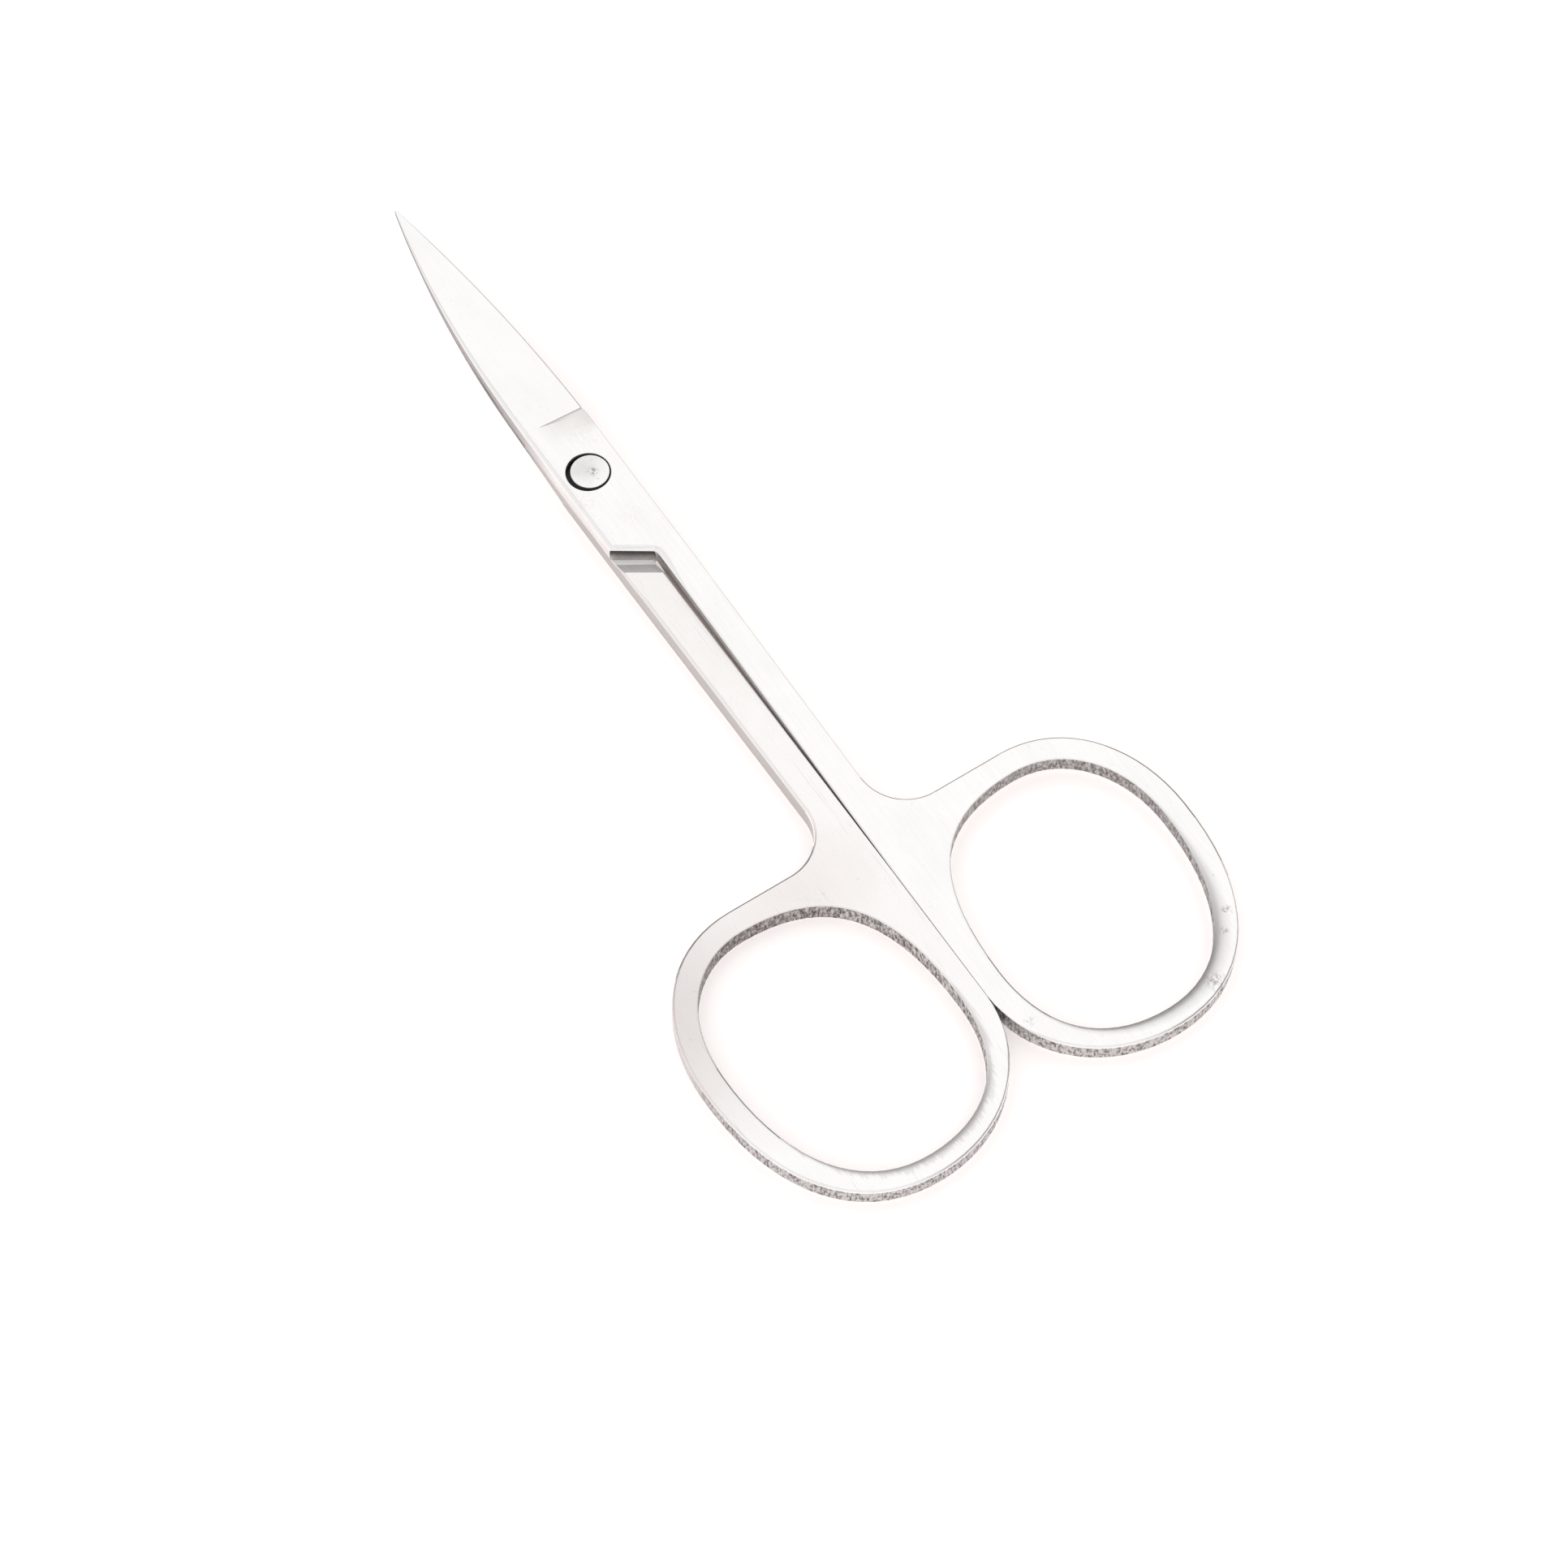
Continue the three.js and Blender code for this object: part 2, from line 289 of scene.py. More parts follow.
def outside_hole(node, middle, wall):
    """Whether an edge isn't one of the finger hole, from its middle and its wall's normal."""
    return middle.y > RING_FRONT or wall.dot(from_ring(node, middle)) > 0


def by_parting(middle):
    """Whether a place behind the heel lies by the line on which the halves part."""
    return middle.y < HEEL_FRONT and abs(middle.x - PARTING_X) < PARTING_REACH


def crown_width(node, middle):
    """How wide the worn crown of a finger hole's upper edge is at a place on that edge."""
    way = from_ring(node, middle)
    worn = HOLE_WORN[node] * max(0, way.dot(HOLE_WORN_TO[node])) ** 2
    sharp = HOLE_SHARP * max(0, way.dot(HOLE_SHARP_TO))
    return HOLE_ROUND + worn - sharp


def ring_rounding(node, middle, wall, top):
    """An edge of a ring: the finger hole is worn round at its rear and left sharp at its front."""
    if outside_hole(node, middle, wall):
        return RING_ROUND
    if not top:
        return UNDER_ROUND[node]
    return min(HOLE_CUT, crown_width(node, middle))


def spine_rounding(node, middle):
    """The back of a blade: finer as the blade thins to its tip, and under the lap of the lower half."""
    if middle.y > SPINE_FULL:
        return blend(TIP_ROUND, SPINE_ROUND, part_way(middle.y, TIP_Y, SPINE_FULL))
    if node == "upper_half":
        return SPINE_ROUND
    return blend(SHANK_ROUND, SPINE_ROUND, part_way(middle.y, 0, SPINE_FULL))


def cutting_rounding(middle):
    """The outer corner of a cutting edge, finer towards the tip."""
    return blend(TIP_ROUND, CUTTING_ROUND, part_way(middle.y, TIP_Y, TIP_FROM))


def undercut(middle):
    """The outer corner of the lower blade's cutting edge, ground away under the upper blade."""
    depth = UNDERCUT_SHARE * (LAP_FACE - middle.z)
    full = blend(SHANK_ROUND, depth, part_way(middle.y, UNDERCUT_REAR, BEVEL_START))
    return blend(TIP_ROUND, full, part_way(middle.y, TIP_Y, TIP_FROM))


def heel_rounding(middle):
    """The upper edge of the heel, running out along the inner edge of the upper shank."""
    return blend(SHANK_ROUND, HEEL_ROUND, part_way(middle.y, HEEL_CUTS[-1], HEEL_CUTS[0]))


def shank_rounding(node, middle, wall, top):
    """A shank's edge: the lower half's is rounder on its outer side and sharper on its inner one."""
    if node == "upper_half" or not top:
        return SHANK_ROUND
    if wall.x > SIDE_FACING and middle.y < RAMP_REAR and by_parting(middle):
        return INNER_ROUND
    share = part_way(middle.y, SHANK_SIDE_FROM, SHANK_SIDE_FULL)
    return blend(SHANK_ROUND, SHANK_SIDE_ROUND, share * max(0, -wall.x))


def rear_rounding(node, middle, wall, top):
    """An edge behind the straight shank: it grows to the ring's, and is sharp where the rings part."""
    start = shank_rounding(node, middle, wall, top)
    end = ring_rounding(node, middle, wall, top)
    full = blend(start, end, part_way(middle.y, FLANK_FRONT, RING_FRONT))
    if not outside_hole(node, middle, wall):
        return full
    apart = part_way(abs(middle.x - PARTING_X) - RING_GAP, 0, PARTING_SPREAD)
    return blend(PARTING_ROUND, full, apart)


def half_rounding(node, middle, wall, top):
    """How far an edge of a half is rounded, by its middle, its wall's normal and if it is an upper edge."""
    if middle.y < SHANK_REAR:
        return rear_rounding(node, middle, wall, top)
    if middle.xy.length < WELL_RADIUS:
        return RIM_ROUND if middle.z > WELL_RIM_ABOVE else 0
    if abs(middle.z - LAP_FACE) < LAP_FACE_REACH and middle.y > RAMP_REAR:
        return LAP_ROUND if middle.y < BEVEL_START else 0
    if node == "upper_half" and top and wall.x < 0 and middle.x > HEEL_LEFT and middle.y < HEEL_FRONT:
        return heel_rounding(middle)
    if node == "lower_half" and not top and wall.x < -SIDE_FACING and middle.y > UNDERCUT_REAR:
        return undercut(middle)
    if middle.y > HEEL_FRONT and SPINE_SIDE[node] * wall.x > SIDE_FACING:
        return spine_rounding(node, middle)
    return cutting_rounding(middle) if middle.y > 0 else shank_rounding(node, middle, wall, top)


def weigh_edges(mesh, node):
    """Gives every edge between a wall and a face the width of its rounding, in millimetres."""
    weights = mesh.attributes.new("bevel_weight_edge", "FLOAT", "EDGE").data
    for edge, faces in zip(mesh.edges, edge_faces(mesh)):
        if len(faces) != 2:
            continue
        wall, face = sorted(faces, key=lambda side: abs(side.normal.z))
        if wall.normal.angle(face.normal) < EDGE_ANGLE:
            continue
        if abs(wall.normal.z) > SLOPE_TILT or abs(face.normal.z) < SLOPE_TILT:
            continue
        ends = [mesh.vertices[i].co for i in edge.vertices]
        middle = (ends[0] + ends[1]) / 2 / MM
        weights[edge.index].value = half_rounding(node, middle, wall.normal, face.normal.z > 0)


def round_edges(piece, node):
    """Rounds every edge between a wall and a face, by its own amount."""
    cut_across(piece, HEEL_CUTS if node == "upper_half" else SHANK_SIDE_CUTS + UNDERCUT_CUTS)
    split_plunge(piece)
    outline = hole_outline(piece, node)
    weigh_edges(piece.data, node)
    bevel = piece.modifiers.new("rounded edges", "BEVEL")
    bevel.limit_method = "WEIGHT"
    bevel.width = MM
    bevel.segments = ROUND_STEPS
    bevel.use_clamp_overlap = False
    bevel.loop_slide = False
    only(piece)
    bpy.ops.object.modifier_apply(modifier=bevel.name)
    crown_hole(piece, node, outline)
    close_parting(piece, node)
    smooth(piece)


def hole_outline(piece, node):
    """The wall of a half's finger hole seen from above, as pairs of points."""
    pairs = []
    for face in piece.data.polygons:
        wall = abs(face.normal.z) < WALL_TILT
        if wall and not outside_hole(node, face.center / MM, face.normal):
            points = [piece.data.vertices[i].co.xy / MM for i in face.vertices]
            pairs.append((points[0], max(points, key=lambda point: (point - points[0]).length)))
    return pairs


def nearest(place, pairs):
    """The nearest point to a place on an outline of pairs of points."""
    best = None
    for start, end in pairs:
        along = (place - start).dot(end - start) / (end - start).length_squared
        point = start + max(0, min(1, along)) * (end - start)
        if best is None or (point - place).length < (best - place).length:
            best = point
    return best


def crown_hole(piece, node, outline):
    """Presses the rounding of a finger hole's upper edge into a low crown that ends at the hole's wall."""
    # The worn attribute is the mask of the painted shade on the crown, strongest at the wall and on the
    # hole's worn side
    worn = piece.data.attributes.new("worn", "FLOAT", "POINT").data
    for vertex in piece.data.vertices:
        place = vertex.co / MM
        rise = max(0, place.y - BEND_BACK) * BEND_SLOPE if node == "upper_half" else 0
        if place.y > RING_FRONT or place.z - rise < RING_MIDDLE_Z:
            continue
        point = nearest(place.xy, outline)
        wide = crown_width(node, point.to_3d())
        cut = min(HOLE_CUT, wide)
        away = (place.xy - point).length
        if away > cut + CROWN_MARGIN:
            continue
        share = min(1, away / cut)
        radius = CROWN_RADIUS * wide
        drop = radius - math.sqrt(radius ** 2 - (wide - share * wide) ** 2)
        moved = point + (place.xy - point) * (wide / cut)
        vertex.co = Vector((moved.x, moved.y, RING_TOP + rise - drop)) * MM
        worn[vertex.index].value = (1 - share) * max(0, from_ring(node, place).dot(HOLE_WORN_TO[node]))


def close_parting(piece, node):
    """Brings the flat sides of the rings almost together along the parting line."""
    for vertex in piece.data.vertices:
        place = vertex.co / MM
        if place.y < SHANK_REAR and abs(place.x - PARTING_X) < RING_GAP:
            vertex.co.x += (PARTING_CLOSE if node == "lower_half" else -PARTING_CLOSE) * MM


def smooth(piece):
    """Smooth shading that keeps each flat face flat, with the rounded edges blending into it."""
    only(piece)
    bpy.ops.object.shade_smooth()
    mesh = piece.data
    flat = [abs(face.normal.z) > FACE_TILT and face.area > FLAT_AREA * MM * MM and not plunge_slope(face)
            for face in mesh.polygons]
    around = [[] for _ in mesh.vertices]
    for face in mesh.polygons:
        for index in face.vertices:
            around[index].append(face)
    normals = []
    for face in mesh.polygons:
        for index in face.vertices:
            near = [other for other in around[index] if other.normal.angle(face.normal, 0) < SMOOTH_ANGLE]
            flats = [other for other in near if flat[other.index]]
            if plunge_slope(face) and mesh.vertices[index].co.y < face.center.y:
                normals.append(Vector((0, 0, math.copysign(1, face.normal.z))))
            elif flat[face.index] or plunge_slope(face):
                normals.append(face.normal)
            elif flats:
                normals.append(max(flats, key=lambda other: other.area).normal)
            else:
                normals.append(sum((other.normal * other.area for other in near), Vector()).normalized())
    mesh.normals_split_custom_set(normals)


def wall_finish(node, middle, normal):
    """The finish of a wall: sheared on the rings, ground at the heel and trimmed elsewhere."""
    if middle.y < RING_FRONT:
        if outside_hole(node, middle, normal):
            return "rough side"
        return "torn side" if node == "lower_half" else "filed side"
    if HEEL_REAR < middle.y < HEEL_FRONT and normal.y < -HEEL_FACING:
        return "heel"
    return "inner side" if by_parting(middle) else "side"


def painted_dark_edge(node, middle, normal):
    """Whether a rounded edge gets a painted dark line: on the far side, and not on a worn crown, a shank or
    the lap.
    """
    low, high = EDGE_TILTS
    if not low < normal.z < high or normal.dot(FAR_SIDE) <= FAR_FACING:
        return False
    if SHANK_REAR < middle.y < PLUNGE_FRONT:
        return False
    worn = from_ring(node, middle).dot(HOLE_WORN_TO[node]) > WORN_FACING
    return outside_hole(node, middle, normal) or not worn


def half_finish(node, face):
    """The finish of a face of a half, by its place and the way that it faces."""
    middle = face.center / MM
    normal = face.normal
    tilt = normal.z
    if middle.xy.length < WELL_RADIUS and middle.z < LAP_TOP - WELL_RIM_DEPTH:
        return "well"
    low, high = INNER_EDGE_TILTS
    inner_edge = SHANK_REAR < middle.y < HEEL_REAR and by_parting(middle) and low < tilt < high
    # The upper shank's inner edge gets the painted dark line of the edge finish
    if node == "upper_half" and inner_edge:
        return "edge"
    side_edge = 0 < tilt < SIDE_EDGE_TILT and normal.x < -SIDE_FACING and middle.y > SHANK_REAR
    if abs(tilt) < WALL_TILT or side_edge:
        return wall_finish(node, middle, normal)
    low, high = RAMP_TILTS
    if RAMP_REAR < middle.y < HEEL_FRONT and low < abs(tilt) < high and normal.y > RAMP_FACING:
        return "ramp"
    if node == "lower_half" and tilt > FACE_TILT and abs(middle.z - LAP_FACE) < LAP_FACE_REACH:
        return "lap"
    if painted_dark_edge(node, middle, normal):
        return "edge"
    outer = tilt > 0 if node == "upper_half" else tilt < 0
    return "bevel" if middle.y > BEVEL_START and outer else "face"


# Node helpers
def add(nodes, kind, **inputs):
    """A node with its unlinked inputs set by name; spaces in names are written as underscores."""
    node = nodes.new(kind)
    for name, value in inputs.items():
        node.inputs[name.replace("_", " ")].default_value = value
    return node


def new_group(name, inputs, outputs):
    """An empty shader node group with float inputs (name to default) and float outputs (names)."""
    group = bpy.data.node_groups.new(name, "ShaderNodeTree")
    for label, default in inputs.items():
        socket = group.interface.new_socket(label, in_out="INPUT", socket_type="NodeSocketFloat")
        socket.default_value = default
    for label in outputs:
        group.interface.new_socket(label, in_out="OUTPUT", socket_type="NodeSocketFloat")
    source = group.nodes.new("NodeGroupInput").outputs
    result = group.nodes.new("NodeGroupOutput").inputs
    return group, source, result


def use_group(nodes, group):
    """A node that places a group in a material."""
    node = nodes.new("ShaderNodeGroup")
    node.node_tree = group
    return node


def math_node(nodes, links, operation, first, second, clamp=False):
    """The result of a sum on two values, each a number or a socket."""
    node = nodes.new("ShaderNodeMath")
    node.operation = operation
    node.use_clamp = clamp
    for socket, value in zip(node.inputs, (first, second)):
        if isinstance(value, (int, float)):
            socket.default_value = value
        else:
            links.new(value, socket)
    return node.outputs[0]


def above(nodes, links, value, start, gain):
    """How far a value stands above a start, times a gain and held between 0 and 1."""
    rest = math_node(nodes, links, "SUBTRACT", value, start)
    return math_node(nodes, links, "MULTIPLY", rest, gain, clamp=True)


def spread(nodes, links, value, low, high):
    """A value from 0 to 1 spread over a range."""
    node = add(nodes, "ShaderNodeMapRange", To_Min=low, To_Max=high)
    links.new(value, node.inputs["Value"])
    return node.outputs["Result"]


def ramp(nodes, links, value, stops):
    """Colours over a value, from (position, colour) stops."""
    node = nodes.new("ShaderNodeValToRGB")
    elements = node.color_ramp.elements
    while len(elements) < len(stops):
        elements.new(0.5)
    for element, (position, colour) in zip(elements, stops):
        element.position = position
        element.color = (*colour, 1)
    links.new(value, node.inputs["Fac"])
    return node.outputs["Color"]


def colour_mix(nodes, kind):
    """A node that mixes two colours in one of Blender's ways."""
    node = nodes.new("ShaderNodeMix")
    node.data_type = "RGBA"
    node.blend_type = kind
    return node


def darken(nodes, links, colour, mask, by):
    """A colour multiplied by a darker one where a mask is high."""
    node = colour_mix(nodes, "MULTIPLY")
    node.inputs["B"].default_value = (*by, 1)
    links.new(mask, node.inputs["Factor"])
    links.new(colour, node.inputs["A"])
    return node.outputs["Result"]


def lighter(nodes, links, first, second):
    """The lighter of two colours."""
    node = colour_mix(nodes, "LIGHTEN")
    node.inputs["Factor"].default_value = 1
    links.new(first, node.inputs["A"])
    links.new(second, node.inputs["B"])
    return node.outputs["Result"]


def bump(nodes, links, shader, height, depth):
    """Gives a shader the relief of a height, with its depth in millimetres."""
    node = add(nodes, "ShaderNodeBump", Strength=1.0, Distance=depth * MM)
    links.new(height, node.inputs["Height"])
    links.new(node.outputs["Normal"], shader.inputs["Normal"])


def stretched_noise(nodes, links, scale, detail, roughness=0.6):
    """Noise on the piece's own coordinates with a different scale (per metre) along each axis."""
    place = nodes.new("ShaderNodeTexCoord")
    mapping = add(nodes, "ShaderNodeMapping", Scale=scale)
    links.new(place.outputs["Object"], mapping.inputs["Vector"])
    noise = add(nodes, "ShaderNodeTexNoise", Scale=1.0, Detail=detail, Roughness=roughness)
    links.new(mapping.outputs["Vector"], noise.inputs["Vector"])
    return noise.outputs["Fac"]


# Effects that more than one finish uses
def brushing_group():
    """Fine lines along the length, with wider ones among them."""
    group, source, result = new_group("long brushing", {"Fine share": 0.6, "Wide share": 0.4}, ["Lines"])
    nodes, links = group.nodes, group.links
    fine = stretched_noise(nodes, links, FINE_LINES, 4)
    coarse = stretched_noise(nodes, links, COARSE_LINES, 3)
    lines = math_node(nodes, links, "MULTIPLY", fine, source["Fine share"])
    wide = math_node(nodes, links, "MULTIPLY", coarse, source["Wide share"])
    links.new(math_node(nodes, links, "ADD", lines, wide), result["Lines"])
    return group


def marks_group():
    """Blotches and specks left by handling and polishing."""
    starts = {"Blotch start": 0.42, "Speck start": 0.66}
    group, source, result = new_group("handling marks", starts, ["Blotch", "Specks"])
    nodes, links = group.nodes, group.links
    wide = stretched_noise(nodes, links, BLOTCHES, 4)
    links.new(above(nodes, links, wide, source["Blotch start"], 3.0), result["Blotch"])
    small = stretched_noise(nodes, links, SPECKS, 2)
    links.new(above(nodes, links, small, source["Speck start"], 8.0), result["Specks"])
    return group


def shear_group():
    """The torn side of a stamping: stripes through the thickness, with pits among them."""
    starts = {"Stripe start": 0.36, "Pit start": 0.58}
    group, source, result = new_group("sheared side", starts, ["Stripes", "Pits"])
    nodes, links = group.nodes, group.links
    stripes = stretched_noise(nodes, links, TEAR_STRIPES, 4, 0.65)
    links.new(above(nodes, links, stripes, source["Stripe start"], 3.4), result["Stripes"])
    pits = stretched_noise(nodes, links, TEAR_PITS, 3)
    links.new(above(nodes, links, pits, source["Pit start"], 6.0), result["Pits"])
    return group


BRUSHING = brushing_group()
MARKS = marks_group()
SHEAR = shear_group()


# Masks from 0 to 1 on a piece
def across(nodes, links, axis, start, end):
    """A mask that grows along an axis of the piece, between two places in millimetres."""
    place = nodes.new("ShaderNodeTexCoord")
    split = nodes.new("ShaderNodeSeparateXYZ")
    node = add(nodes, "ShaderNodeMapRange", From_Min=start * MM, From_Max=end * MM)
    links.new(place.outputs["Object"], split.inputs["Vector"])
    links.new(split.outputs[axis], node.inputs["Value"])
    return node.outputs["Result"]


def spot(nodes, links, x, y, radius):
    """A soft round mask on the piece seen from above, in millimetres: 1 in its middle and 0 at its rim."""
    place = nodes.new("ShaderNodeTexCoord")
    flat = nodes.new("ShaderNodeVectorMath")
    flat.operation = "MULTIPLY_ADD"
    flat.inputs[1].default_value = (1, 1, 0)
    flat.inputs[2].default_value = (-x * MM, -y * MM, 0)
    links.new(place.outputs["Object"], flat.inputs[0])
    away = nodes.new("ShaderNodeVectorMath")
    away.operation = "LENGTH"
    links.new(flat.outputs["Vector"], away.inputs[0])
    node = add(nodes, "ShaderNodeMapRange", From_Min=0, From_Max=radius * MM, To_Min=1, To_Max=0)
    node.interpolation_type = "SMOOTHSTEP"
    links.new(away.outputs["Value"], node.inputs["Value"])
    return node.outputs["Result"]


def crown_painted_shade(nodes, links):
    """The mask of the painted shade on a finger hole's worn crown, strongest at the hole's wall."""
    crown = nodes.new("ShaderNodeAttribute")
    crown.attribute_name = "worn"
    return crown.outputs["Fac"]


def ragged_crown_shade(nodes, links, ragged):
    """The mask of the painted shade on a finger hole's worn crown, its outer side broken up by the brushing.
    """
    lines = math_node(nodes, links, "SUBTRACT", use_group(nodes, BRUSHING).outputs["Lines"], 0.5)
    broken = math_node(nodes, links, "MULTIPLY", lines, ragged)
    depth = math_node(nodes, links, "ADD", crown_painted_shade(nodes, links), broken)
    return above(nodes, links, depth, 0.25, 4.0)


def scuffed(nodes, links, x, y, radius):
    """A small scuff in the polish, broken up by fine grain."""
    grain = stretched_noise(nodes, links, SCUFF_GRAIN, 3)
    broken = above(nodes, links, grain, 0.46, 7.0)
    return math_node(nodes, links, "MULTIPLY", spot(nodes, links, x, y, radius), broken)


def torn(nodes, links):
    """The dark stripes of a sheared side as a mask."""
    return math_node(nodes, links, "SUBTRACT", 1.0, use_group(nodes, SHEAR).outputs["Stripes"])


# The worn and crown masks carry the painted shade on the finger holes' worn crowns
MASKS = {
    "across": across,
    "spot": spot,
    "worn": ragged_crown_shade,
    "crown_painted_shade": crown_painted_shade,
    "scuffed": scuffed,
    "torn": torn,
}


def shaded(nodes, links, colour, shades):
    """A colour with shades on it: each is a list of masks, multiplied, and the colour to darken by."""
    for parts, by in shades:
        product = None
        for kind, *places in parts:
            mask = MASKS[kind](nodes, links, *places)
            product = mask if product is None else math_node(nodes, links, "MULTIPLY", product, mask)
        colour = darken(nodes, links, colour, product, by)
    return colour


# Finishes
def metal(name):
    """A new metal material, with its nodes, links and shader."""
    material = bpy.data.materials.new(name)
    material.use_nodes = True
    nodes, links = material.node_tree.nodes, material.node_tree.links
    shader = nodes["Principled BSDF"]
    shader.inputs["Metallic"].default_value = 1.0
    return material, nodes, links, shader


def brushed_face(name, dark, light, rough, shades=()):
    """Brushed steel, from the colour in its lines to the colour between them."""
    material, nodes, links, shader = metal(name)
    lines = use_group(nodes, BRUSHING).outputs["Lines"]
    marks = use_group(nodes, MARKS)
    colour = ramp(nodes, links, lines, [(0.3, dark), (0.7, light)])
    colour = shaded(nodes, links, colour, shades)
    colour = darken(nodes, links, colour, marks.outputs["Blotch"], (0.97, 0.962, 0.955))
    colour = darken(nodes, links, colour, marks.outputs["Specks"], (0.93, 0.92, 0.91))
    links.new(colour, shader.inputs["Base Color"])
    links.new(spread(nodes, links, lines, rough - 0.06, rough + 0.08), shader.inputs["Roughness"])
    bump(nodes, links, shader, lines, LINE_DEPTH)
    return material


def sheared_side(name, dark, light, rough, shades=(), front=None, reach=0.9):
    """A sheared side; its tearing may start gently behind a place along the length, in millimetres."""
    material, nodes, links, shader = metal(name)
    shear = use_group(nodes, SHEAR)
    stripes, pits = shear.outputs["Stripes"], shear.outputs["Pits"]
    if front is not None:
        tearing = across(nodes, links, "Y", front, front - TEAR_LENGTH)
        whole = math_node(nodes, links, "SUBTRACT", 1.0, tearing)
        stripes = math_node(nodes, links, "MAXIMUM", stripes, whole)
        pits = math_node(nodes, links, "MULTIPLY", pits, tearing)
    colour = ramp(nodes, links, stripes, [(0.1, dark), (reach, light)])
    colour = shaded(nodes, links, colour, shades)
    colour = darken(nodes, links, colour, pits, (0.4, 0.37, 0.36))
    links.new(colour, shader.inputs["Base Color"])
    shader.inputs["Roughness"].default_value = rough
    bump(nodes, links, shader, stripes, TEAR_DEPTH)
    return material


def frost_strip(material):
    """Makes the ground lap a matt grey, and palest in the narrow strip behind the heel."""
    nodes, links = material.node_tree.nodes, material.node_tree.links
    ahead = across(nodes, links, "Y", STRIP_REAR, STRIP_FRONT)
    links.new(spread(nodes, links, ahead, 0, LAP_METAL), nodes["Principled BSDF"].inputs["Metallic"])


def rivet_face():
    """The mottled steel of the rivet, with painted shade on one side and a scuff by its middle."""
    material, nodes, links, shader = metal("rivet_steel")
    marks = use_group(nodes, MARKS)
    mottle = stretched_noise(nodes, links, RIVET_MOTTLE, 5, 0.65)
    colour = ramp(nodes, links, mottle, [(0.32, (0.92, 0.91, 0.905)), (0.6, (1.0, 0.99, 0.985))])
    # Painted shade on one side of the head
    colour = darken(nodes, links, colour, spot(nodes, links, -0.25, 0.45, 1.8), (0.85, 0.84, 0.835))
    colour = darken(nodes, links, colour, marks.outputs["Specks"], (0.7, 0.68, 0.69))
    colour = darken(nodes, links, colour, scuffed(nodes, links, 0.2, -0.15, 0.6), (0.3, 0.28, 0.29))
    links.new(colour, shader.inputs["Base Color"])
    links.new(spread(nodes, links, mottle, 0.3, 0.5), shader.inputs["Roughness"])
    bump(nodes, links, shader, mottle, MOTTLE_DEPTH)
    return material


def well_steel():
    """The counterbore around the rivet, with painted shade that darkens it with depth."""
    material, nodes, links, shader = metal("dark_well")
    height = across(nodes, links, "Z", 2.4, 2.85)
    colour = ramp(nodes, links, height, [(0.0, (0.09, 0.086, 0.088)), (1.0, (0.4, 0.39, 0.385))])
    links.new(colour, shader.inputs["Base Color"])
    shader.inputs["Roughness"].default_value = 0.6
    return material


# Shades on the finishes: masks with their places in millimetres, and the colour that they darken by; many
# are painted shade, as the comments say
UPPER_SHADES = (
    # Painted shade on the lap behind the step where the blade's grind starts, deepest at its right end
    ([("across", "Y", 3.0, 5.0), ("across", "X", -1.5, 0.5)], (0.87, 0.85, 0.84)),
    ([("spot", 2.6, 4.2, 1.6)], (0.9, 0.89, 0.885)),
    # Painted shade on the worn crown of the finger hole
    ([("crown_painted_shade",)], (0.63, 0.61, 0.605)),
    # Scuffs in the polish on the lap and on the ring
    ([("scuffed", -1.7, -2.2, 1.3)], (0.93, 0.91, 0.9)),
    ([("scuffed", 0.6, -5.0, 1.8)], (0.955, 0.94, 0.93)),
    ([("scuffed", 1.4, 3.2, 1.6)], (0.95, 0.935, 0.925)),
    ([("scuffed", 18.4, -56.1, 0.6)], (0.5, 0.46, 0.45)),
    ([("scuffed", 17.3, -57.3, 0.5)], (0.55, 0.51, 0.5)),
    ([("scuffed", 14.4, -60.2, 1.1)], (0.5, 0.46, 0.45)),
    ([("scuffed", 1.7, -55.5, 0.6)], (0.65, 0.61, 0.6)),
)
LOWER_SHADES = (
    # Painted shade on the left side of the ring
    ([("spot", -20, -41, 14)], (0.79, 0.76, 0.755)),
    # A darker, warmer patch on the web in front of the ring
    ([("spot", -6, -38.5, 7)], (0.93, 0.905, 0.895)),
    # The ring's front and the shank a little darker and warmer than the ring's rear
    ([("across", "Y", -56, -48)], (0.985, 0.965, 0.96)),
    # Painted shade on the shank, deepening towards the heel
    ([("across", "Y", -24, -9)], (0.96, 0.955, 0.95)),
    # Painted shade on the worn crown of the finger hole, ragged at its outer side
    ([("worn", 3.0)], (0.86, 0.84, 0.835)),
)
SIDE_SHADES = (
    # Painted shade on the back of the upper blade, below its top edge
    ([("across", "Y", 1, 7), ("across", "Z", 2.75, 2.45)], (0.5, 0.485, 0.48)),
    # Painted shade on the lower part of every wall
    ([("across", "Z", 1.7, 1.55)], (0.62, 0.6, 0.59)),
    # Painted shadow: the lower blade's side nearly black under the upper blade
    ([("across", "Y", 4, 8), ("across", "Z", 1.45, 1.4)], (0.35, 0.335, 0.33)),
    # Painted shade deepening down the wall of the blade
    ([("across", "Y", 4, 8), ("across", "Z", 2.3, 1.5)], (0.6, 0.61, 0.61)),
    # A painted dark streak of shadow between the blades
    ([("spot", -2.0, 11.2, 3.4), ("across", "Z", 2.1, 1.75)], (0.15, 0.15, 0.15)),
    # Painted shade at the foot of every wall, by the table
    ([("across", "Z", 0.5, 0)], (0.85, 0.83, 0.825)),
)
# Darker on the left of the lower finger hole's wall
TORN_SHADES = (([("across", "X", -4, -9)], (0.76, 0.74, 0.73)),)
INNER_SHADES = (
    # Painted shade on the inner walls between the halves, deepening towards the heel
    ([("across", "Y", -20, -10)], (0.72, 0.7, 0.69)),
    # The tearing of the sheared ring, running into the inner walls
    ([("across", "Y", TEAR_FRONT, TEAR_FRONT - TEAR_LENGTH), ("torn",)], (0.4, 0.375, 0.365)),
)
# Painted shade on the heel's wall, darkest at its top edge
HEEL_SHADES = (([("across", "Z", 1.6, 2.4)], (0.15, 0.14, 0.135)),)

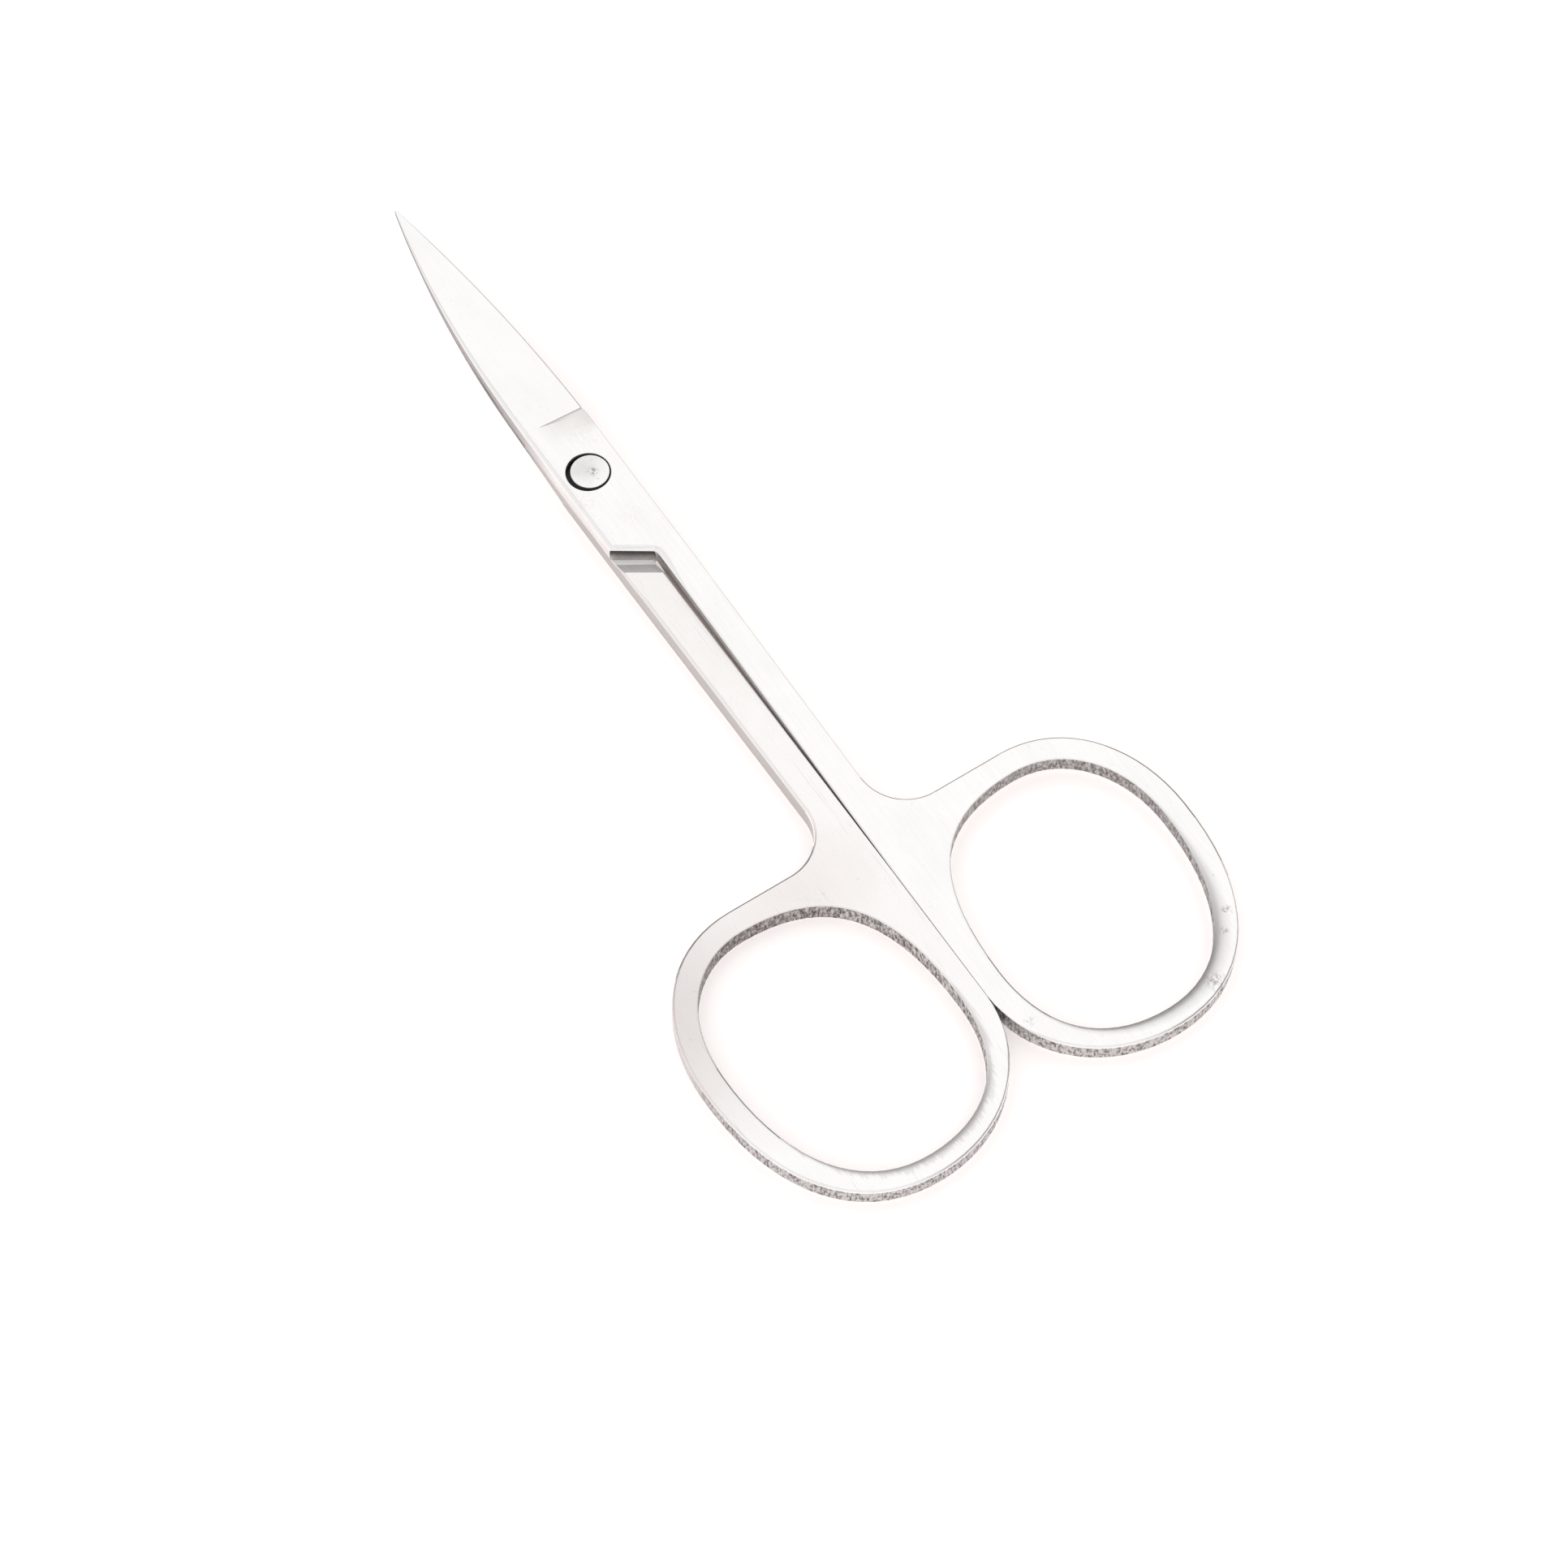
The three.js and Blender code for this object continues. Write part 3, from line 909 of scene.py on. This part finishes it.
upper_face = brushed_face("upper_face", (0.93, 0.919, 0.907), (0.995, 0.986, 0.978), 0.24, UPPER_SHADES)
lower_face = brushed_face("lower_face", (0.945, 0.936, 0.928), (0.99, 0.983, 0.976), 0.26, LOWER_SHADES)
ground_lap = brushed_face("ground_lap", (0.92, 0.91, 0.905), (0.98, 0.97, 0.965), 0.6)
frost_strip(ground_lap)
FINISHES = {
    "side": brushed_face("trimmed_side", (0.78, 0.765, 0.76), (0.95, 0.94, 0.935), 0.32, SIDE_SHADES),
    # The inner walls' darker colours stand in for the shade between the halves: painted shade
    "inner side": brushed_face("inner_side", (0.55, 0.52, 0.51), (0.88, 0.85, 0.84), 0.4, INNER_SHADES),
    "torn side": sheared_side("torn_side", (0.12, 0.107, 0.102), (0.74, 0.71, 0.7), 0.5, TORN_SHADES),
    "rough side": sheared_side("rough_side", (0.17, 0.158, 0.154), (0.68, 0.66, 0.652), 0.5,
                               front=TEAR_FRONT, reach=0.6),
    # The heel's dark colours are painted shade
    "heel": brushed_face("ground_heel", (0.4, 0.37, 0.36), (0.66, 0.63, 0.62), 0.35, HEEL_SHADES),
    "ramp": brushed_face("ground_ramp", (0.86, 0.855, 0.85), (0.97, 0.965, 0.96), 0.55),
    "bevel": brushed_face("ground_bevel", (0.96, 0.951, 0.94), (0.995, 0.987, 0.977), 0.22),
    "well": well_steel(),
    # Painted shade: dark lines on the far rounded edges and on the upper shank's inner edge
    "edge": brushed_face("edge_painted_shade", (0.28, 0.27, 0.265), (0.42, 0.41, 0.405), 0.45),
    "filed side": sheared_side("filed_side", (0.18, 0.166, 0.16), (0.6, 0.578, 0.57), 0.5),
    "lap": ground_lap,
}


# Pieces
def make_half(node, body, face):
    """A half, with its edges rounded and each of its faces given its finish."""
    piece = copy_of(node, f"{node}_finished")
    round_edges(piece, node)
    for vertex in piece.data.vertices:
        vertex.co.z = max(0, min(cad_high.z, vertex.co.z))
    finishes = {"face": face, **FINISHES}
    for material in finishes.values():
        piece.data.materials.append(material)
    order = list(finishes)
    for polygon in piece.data.polygons:
        polygon.material_index = order.index(half_finish(node, polygon))
    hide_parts(node)
    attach(piece, body)


def make_rivet():
    """The rivet, with the rim of its head spread a little and its top pressed into a low dome."""
    piece = copy_of("pivot_rivet", "pivot_rivet_finished")
    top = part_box("pivot_rivet")[1].z
    ready_to_select("VERT")
    for vertex in piece.data.vertices:
        vertex.select = vertex.co.z > LAP_FACE * MM and vertex.co.xy.length > HEAD_INSIDE * MM
    bpy.ops.object.mode_set(mode="EDIT")
    bpy.ops.transform.resize(value=(HEAD_GROWTH, HEAD_GROWTH, 1), center_override=(0, 0, top))
    bpy.ops.transform.translate(value=(HEAD_SHIFT * MM, 0, 0))
    ready_to_select("FACE")
    for face in piece.data.polygons:
        face.select = face.normal.z > FACE_TILT and face.center.z > top - HEAD_FACE_REACH * MM
    bpy.ops.object.mode_set(mode="EDIT")
    bpy.ops.transform.resize(value=(HEAD_SPREAD, HEAD_SPREAD, 1), center_override=(0, 0, top))
    bpy.ops.transform.translate(value=(0, 0, -HEAD_SINK * MM))
    for rise in DOME_RISES:
        bpy.ops.mesh.inset(thickness=DOME_STEP * MM, depth=rise * MM)
    bpy.ops.object.mode_set(mode="OBJECT")
    piece.data.materials.append(rivet_face())
    smooth(piece)
    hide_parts("pivot_rivet")
    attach(piece, "lower")


make_half("upper_half", "upper", upper_face)
make_half("lower_half", "lower", lower_face)
make_rivet()


# Studio
def make_floor():
    """A white table that is as bright to the camera and in reflections as the studio around it."""
    bpy.ops.mesh.primitive_plane_add(size=TABLE_SIZE * MM, location=(0, 0, -TABLE_BELOW * MM))
    floor = bpy.context.object
    floor.name = "floor"
    material = bpy.data.materials.new("white_table")
    material.use_nodes = True
    nodes, links = material.node_tree.nodes, material.node_tree.links
    nodes.clear()
    table = add(nodes, "ShaderNodeBsdfDiffuse", Color=TABLE_COLOUR)
    glow = add(nodes, "ShaderNodeEmission", Color=TABLE_GLOW)
    path = nodes.new("ShaderNodeLightPath").outputs
    mirrored = math_node(nodes, links, "MAXIMUM", path["Is Glossy Ray"], path["Is Transmission Ray"])
    seen = math_node(nodes, links, "MAXIMUM", path["Is Camera Ray"], mirrored)
    links.new(math_node(nodes, links, "MULTIPLY", seen, TABLE_GLOW_STRENGTH), glow.inputs["Strength"])
    both = nodes.new("ShaderNodeAddShader")
    links.new(table.outputs["BSDF"], both.inputs[0])
    links.new(glow.outputs["Emission"], both.inputs[1])
    links.new(both.outputs["Shader"], nodes.new("ShaderNodeOutputMaterial").inputs["Surface"])
    floor.data.materials.append(material)


def world_light(nodes, links, direction, levels):
    """A soft round light in the sky: grey levels over the cosine of the angle from its direction."""
    place = nodes.new("ShaderNodeTexCoord")
    facing = nodes.new("ShaderNodeVectorMath")
    facing.operation = "DOT_PRODUCT"
    facing.inputs[1].default_value = Vector(direction).normalized()
    links.new(place.outputs["Generated"], facing.inputs[0])
    stops = [(position, (grey, grey, grey)) for position, grey in levels]
    return ramp(nodes, links, facing.outputs["Value"], stops)


def make_world():
    """The studio's sky: the softbox and the two cards, each where it is the lightest."""
    world = bpy.data.worlds.new("studio")
    bpy.context.scene.world = world
    world.use_nodes = True
    nodes, links = world.node_tree.nodes, world.node_tree.links
    softbox = world_light(nodes, links, SOFTBOX_DIRECTION, SOFTBOX_LEVELS)
    card = world_light(nodes, links, CARD_DIRECTION, CARD_LEVELS)
    side_card = world_light(nodes, links, SIDE_CARD_DIRECTION, SIDE_CARD_LEVELS)
    cards = lighter(nodes, links, card, side_card)
    links.new(lighter(nodes, links, softbox, cards), nodes["Background"].inputs["Color"])


def make_lamp():
    """A round lamp above the tips, at the right, which doesn't show in the steel."""
    bpy.ops.object.light_add(type="AREA", location=LAMP_AT * MM)
    lamp = bpy.context.object
    lamp.name = "softbox"
    lamp.data.shape = "DISK"
    lamp.data.size = LAMP_SIZE * MM
    lamp.data.energy = LAMP_POWER
    lamp.visible_glossy = False
    lamp.rotation_euler = (-LAMP_AT).to_track_quat("-Z", "Y").to_euler()


def make_camera():
    """The camera at the photograph's place, with its lens."""
    bpy.ops.object.camera_add(location=CAMERA_AT * MM)
    camera = bpy.context.object
    camera.rotation_euler = (CAMERA_TO - CAMERA_AT).to_track_quat("-Z", "Y").to_euler()
    camera.data.lens = CAMERA_LENS
    camera.data.sensor_width = CAMERA_SENSOR
    camera.data.clip_start = MM
    bpy.context.scene.camera = camera


make_floor()
make_world()
make_lamp()
make_camera()
bpy.context.scene.view_settings.view_transform = "Standard"
